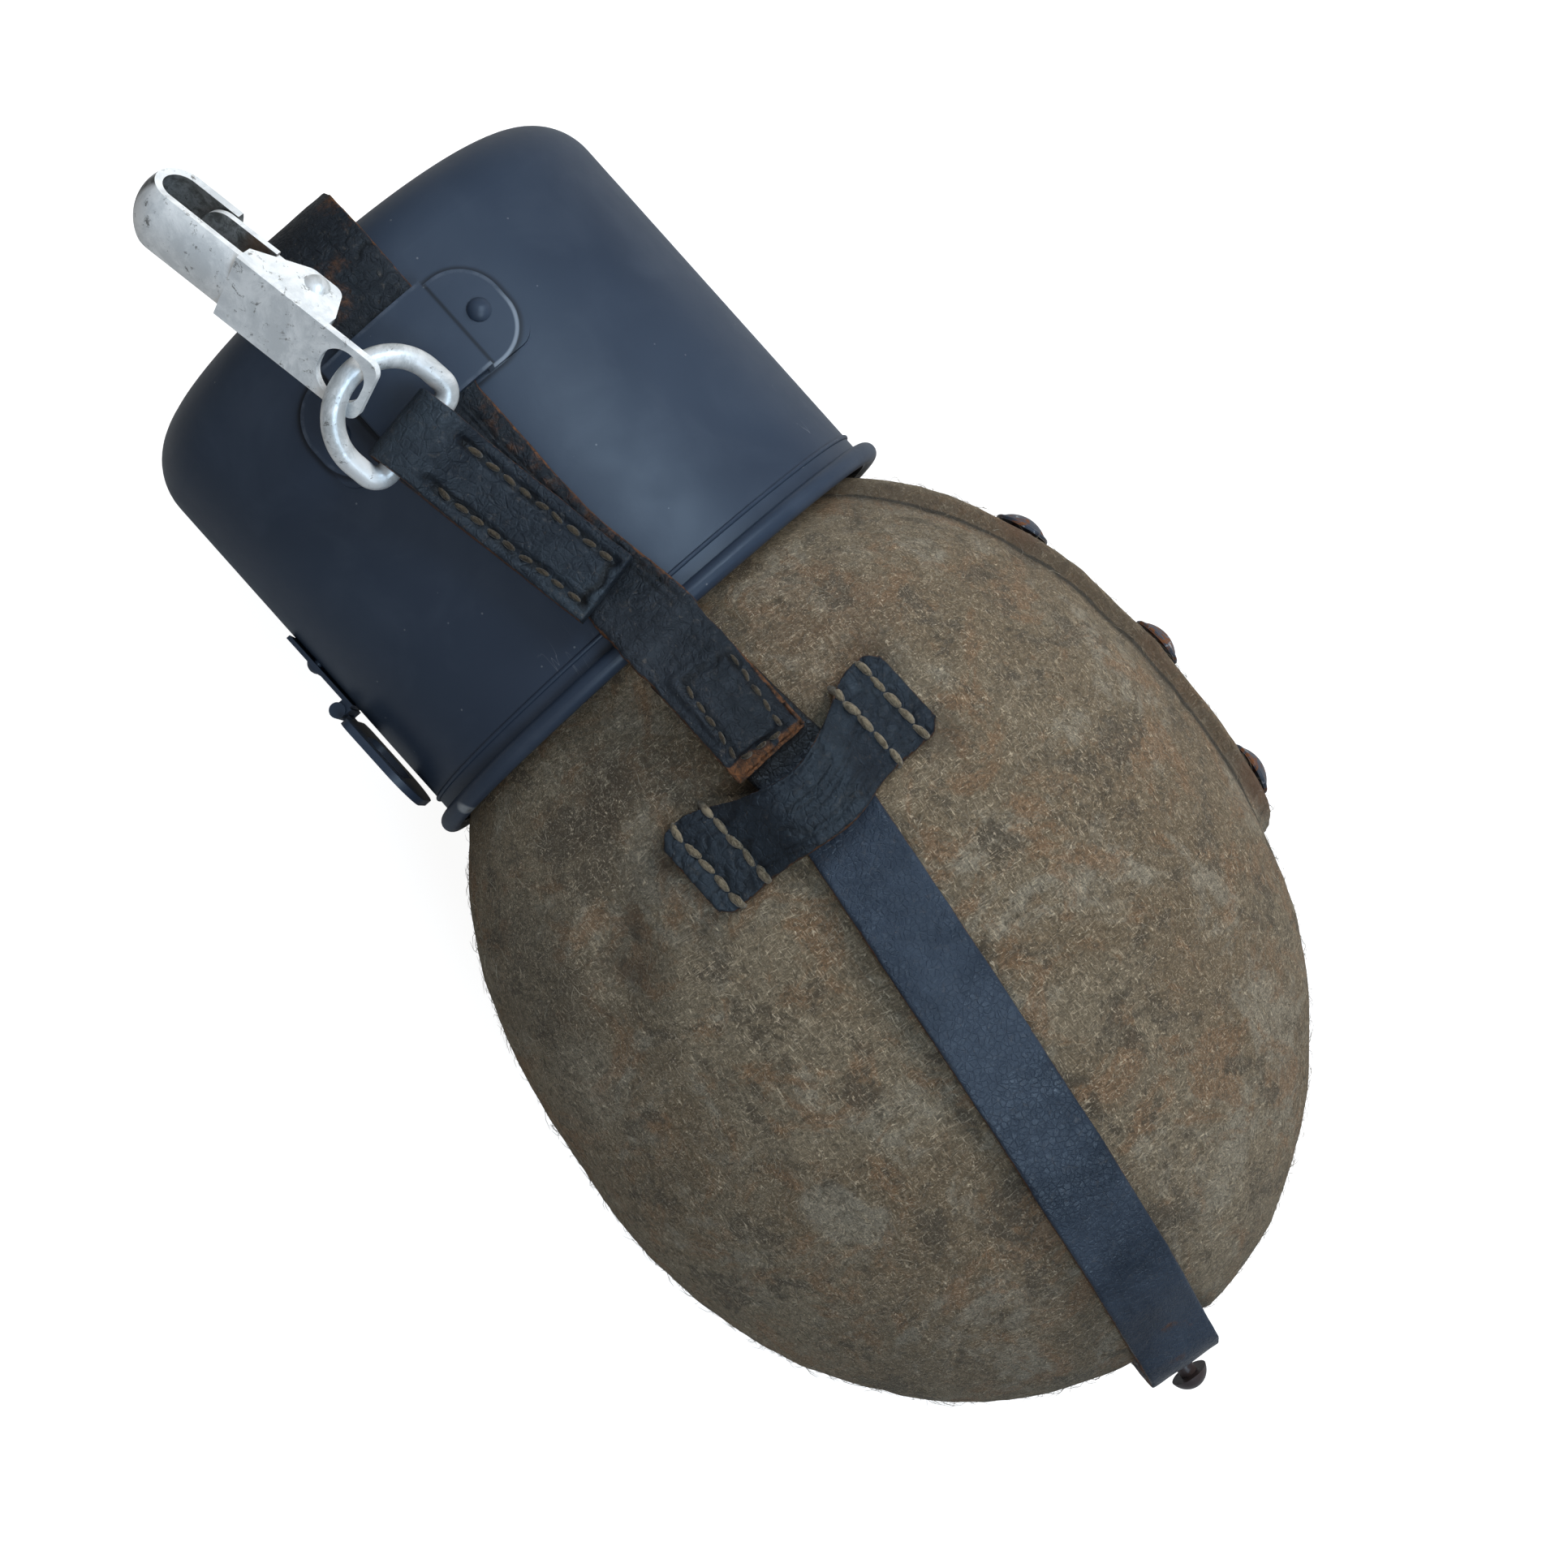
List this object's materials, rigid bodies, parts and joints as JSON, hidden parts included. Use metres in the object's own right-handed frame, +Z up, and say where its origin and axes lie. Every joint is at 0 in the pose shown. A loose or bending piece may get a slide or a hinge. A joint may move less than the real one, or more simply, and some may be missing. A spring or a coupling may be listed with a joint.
{
  "type": "military canteen",
  "caption": "Oval field canteen in a snapped felt cover, with a drinking cup turned over its neck, a leather harness and a snap hook on a ring.",
  "frame": {"origin": "middle of the ground under the canteen as it lies on its back", "axes": "+Y along the flask from its bottom to the cup, +Z up, out of the side that carries the hook"},
  "size_m": [0.148, 0.2762, 0.1085],
  "materials": {
    "felt": "rough mottled wool felt",
    "worn_leather": "worn, rust-brown at the edges",
    "smooth_leather": "smooth, slightly glossy",
    "creased_leather": "creased, satin",
    "cup_paint": "satin paint with scuffs",
    "flask_aluminium": "dull",
    "gasket_rubber": "matt",
    "hook_aluminium": "worn, pitted",
    "snap_steel": "worn to bare metal and rusty",
    "dark_steel": "browned steel"
  },
  "bodies": {
    "canteen": {"flask_body": "flask_aluminium", "felt_cover": "felt", "cup_shell": "cup_paint", "strap_bracket": "cup_paint", "handle_lug": "cup_paint", "handle_pin": "dark_steel", "upper_strap": "worn_leather", "lower_strap": "smooth_leather", "back_strap": "smooth_leather", "bottom_stud": "dark_steel", "hook_tab": "creased_leather", "buckle_frame": "dark_steel", "snap_cap_1": "snap_steel", "snap_stud_1": "dark_steel", "snap_cap_2": "snap_steel", "snap_stud_2": "dark_steel", "snap_cap_3": "snap_steel", "snap_stud_3": "dark_steel", "bracket_rivet_left": "cup_paint", "bracket_rivet_right": "cup_paint", "lug_rivet_back": "cup_paint", "lug_rivet_front": "cup_paint", "front_loop": "creased_leather", "back_loop": "creased_leather"},
    "cap": {"screw_cap": "flask_aluminium", "cap_gasket": "gasket_rubber"},
    "ring": {"carrying_ring": "hook_aluminium"},
    "hook": {"hook_body": "hook_aluminium", "gate_rivet": "hook_aluminium", "gate_spring": "dark_steel"},
    "gate": {"hook_gate": "hook_aluminium"},
    "handle": {"cup_handle": "cup_paint"},
    "roller": {"buckle_roller": "dark_steel"},
    "prong": {"buckle_prong": "dark_steel"}
  },
  "joints": [
    {"name": "cap_turn", "type": "hinge", "parent": "canteen", "child": "cap", "pos_m": [-0.00296, 0.06943, 0.05143], "axis": [0, 1, 0], "range_deg": [0, 360]},
    {"name": "ring_swing", "type": "hinge", "parent": "canteen", "child": "ring", "pos_m": [-0.02195, 0.08118, 0.09476], "axis": [0.9563, 0.2924, 0], "range_deg": [0, 90]},
    {"name": "hook_swing", "type": "hinge", "parent": "ring", "child": "hook", "pos_m": [-0.02567, 0.09332, 0.10365], "axis": [0.9563, 0.2924, 0], "range_deg": [0, 75]},
    {"name": "gate_open", "type": "hinge", "parent": "hook", "child": "gate", "pos_m": [-0.02514, 0.10708, 0.09912], "axis": [0.6762, 0.2067, 0.7071], "range_deg": [0, 12], "stiffness_Nm_per_rad": 0.02, "springref_deg": -20.05},
    {"name": "handle_fold", "type": "hinge", "parent": "canteen", "child": "handle", "pos_m": [-0.06168, 0.05626, 0.05143], "axis": [0, 0, -1], "range_deg": [0, 115]},
    {"name": "roller_spin", "type": "hinge", "parent": "canteen", "child": "roller", "pos_m": [-0.0051, 0.02679, 0.00903], "axis": [0.9999, 0.014, 0], "continuous": true},
    {"name": "prong_lift", "type": "hinge", "parent": "canteen", "child": "prong", "pos_m": [-0.00492, 0.01442, 0.01301], "axis": [-0.9999, -0.014, 0], "range_deg": [0, 12]}
  ]
}
